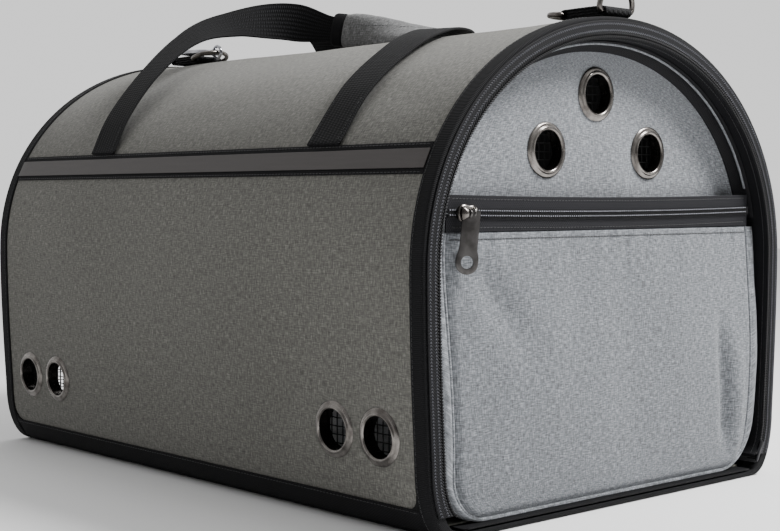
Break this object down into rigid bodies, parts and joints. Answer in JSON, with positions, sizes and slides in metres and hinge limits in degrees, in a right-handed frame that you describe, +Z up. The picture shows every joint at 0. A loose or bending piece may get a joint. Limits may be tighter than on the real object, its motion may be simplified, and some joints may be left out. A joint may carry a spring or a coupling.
{
  "type": "pet carrier bag",
  "caption": "Soft-sided arched pet carrier bag in grey melange fabric with black binding, a zipped drop-down door with pocket, metal vent eyelets and webbing handles.",
  "frame": {"origin": "middle of the bottom face, on the ground", "axes": "+Z up, +Y along the length towards the rear end, so the zipped door faces -Y; +X to the right when looking at the door from behind it"},
  "size_m": [0.34, 0.48, 0.3437],
  "materials": {
    "cover_fabric": "woven",
    "door_fabric": "woven",
    "black_fabric": "woven",
    "black_tape": "grosgrain",
    "webbing": "ribbed weave",
    "reflective": "satin",
    "net": "knitted net",
    "foam": "foam",
    "lining_fabric": "plain weave",
    "board": "matt",
    "mat_fabric": "fleece",
    "zip_teeth": "satin",
    "nickel": "brushed",
    "chrome": "polished",
    "black_metal": "satin"
  },
  "bodies": {
    "shell": {"base_board": "board", "base_panel": "black_fabric", "door_zip_slider": "black_metal", "floor_mat": "mat_fabric", "front_binding": "black_tape", "front_strap_tab": "webbing", "left_bottom_binding": "black_tape", "left_front_grommet_1": "nickel", "left_front_grommet_2": "nickel", "left_front_vent_net": "net", "left_rear_grommet_1": "nickel", "left_rear_grommet_2": "nickel", "left_rear_vent_net": "net", "left_reflective_tape": "reflective", "left_ribbon": "webbing", "lining": "lining_fabric", "outer_cover": "cover_fabric", "rear_binding": "black_tape", "rear_panel": "cover_fabric", "rear_strap_tab": "webbing", "rear_window_binding": "black_tape", "rear_window_net": "net", "right_bottom_binding": "black_tape", "right_front_grommet_1": "nickel", "right_front_grommet_2": "nickel", "right_front_vent_net": "net", "right_rear_grommet_1": "nickel", "right_rear_grommet_2": "nickel", "right_rear_vent_net": "net", "right_reflective_tape": "reflective", "right_ribbon": "webbing", "rim_zip_tape": "black_tape", "wall_foam": "foam"},
    "door": {"door_cover": "door_fabric", "door_board": "foam", "door_piping": "door_fabric", "door_zip_tape": "black_tape", "door_hinge_strip": "black_fabric", "door_vent_net": "net", "door_grommet_1": "nickel", "door_grommet_2": "nickel", "door_grommet_3": "nickel", "pocket_front": "door_fabric", "pocket_zip_tape_lower": "black_tape", "pocket_zip_tape_upper": "black_tape", "pocket_zip_coil": "zip_teeth"},
    "pocket_slider": {"pocket_zip_slider": "nickel"},
    "pocket_puller": {"pocket_zip_puller": "nickel"},
    "left_handle": {"left_handle_webbing": "webbing", "grip_sleeve": "cover_fabric", "grip_cuff_rear": "black_tape", "grip_cuff_front": "black_tape"},
    "right_handle": {"right_handle_webbing": "webbing"},
    "front_ring": {"front_d_ring": "nickel"},
    "front_inner_ring_body": {"front_inner_ring": "nickel"},
    "rear_ring": {"rear_d_ring": "nickel"},
    "snap_hook": {"rear_snap_hook": "chrome"},
    "snap_gate": {"rear_snap_gate": "chrome"}
  },
  "joints": [
    {"name": "door_fold", "type": "hinge", "parent": "shell", "child": "door", "pos_m": [0, -0.239, 0.005], "axis": [1, 0, 0], "range_deg": [0, 90]},
    {"name": "pocket_zip_travel", "type": "slide", "parent": "door", "child": "pocket_slider", "axis": [1, 0, 0], "range_m": [0, 0.263]},
    {"name": "pocket_puller_lift", "type": "hinge", "parent": "pocket_slider", "child": "pocket_puller", "pos_m": [-0.1315, -0.2374, 0.1812], "axis": [-1, 0, 0], "range_deg": [0, 150]},
    {"name": "left_handle_swing", "type": "hinge", "parent": "shell", "child": "left_handle", "pos_m": [-0.1525, 0, 0.221], "axis": [0, -1, 0], "range_deg": [0, 100]},
    {"name": "right_handle_swing", "type": "hinge", "parent": "shell", "child": "right_handle", "pos_m": [0.1525, 0, 0.221], "axis": [0, 1, 0], "range_deg": [0, 100]},
    {"name": "front_ring_swing", "type": "hinge", "parent": "shell", "child": "front_ring", "pos_m": [0, -0.2313, 0.3038], "axis": [1, 0, 0], "range_deg": [-60, 80]},
    {"name": "front_inner_ring_swing", "type": "hinge", "parent": "shell", "child": "front_inner_ring_body", "pos_m": [0, -0.1997, 0.3038], "axis": [1, 0, 0], "range_deg": [0, 80]},
    {"name": "rear_ring_swing", "type": "hinge", "parent": "shell", "child": "rear_ring", "pos_m": [0, 0.1997, 0.3038], "axis": [1, 0, 0], "range_deg": [0, 12]},
    {"name": "snap_hook_swing", "type": "hinge", "parent": "rear_ring", "child": "snap_hook", "pos_m": [0, 0.1853, 0.3093], "axis": [1, 0, 0], "range_deg": [0, 60]},
    {"name": "snap_gate_press", "type": "hinge", "parent": "snap_hook", "child": "snap_gate", "pos_m": [0.0086, 0.1975, 0.3099], "axis": [0, 0, 1], "range_deg": [0, 22], "stiffness_Nm_per_rad": 0.02}
  ]
}
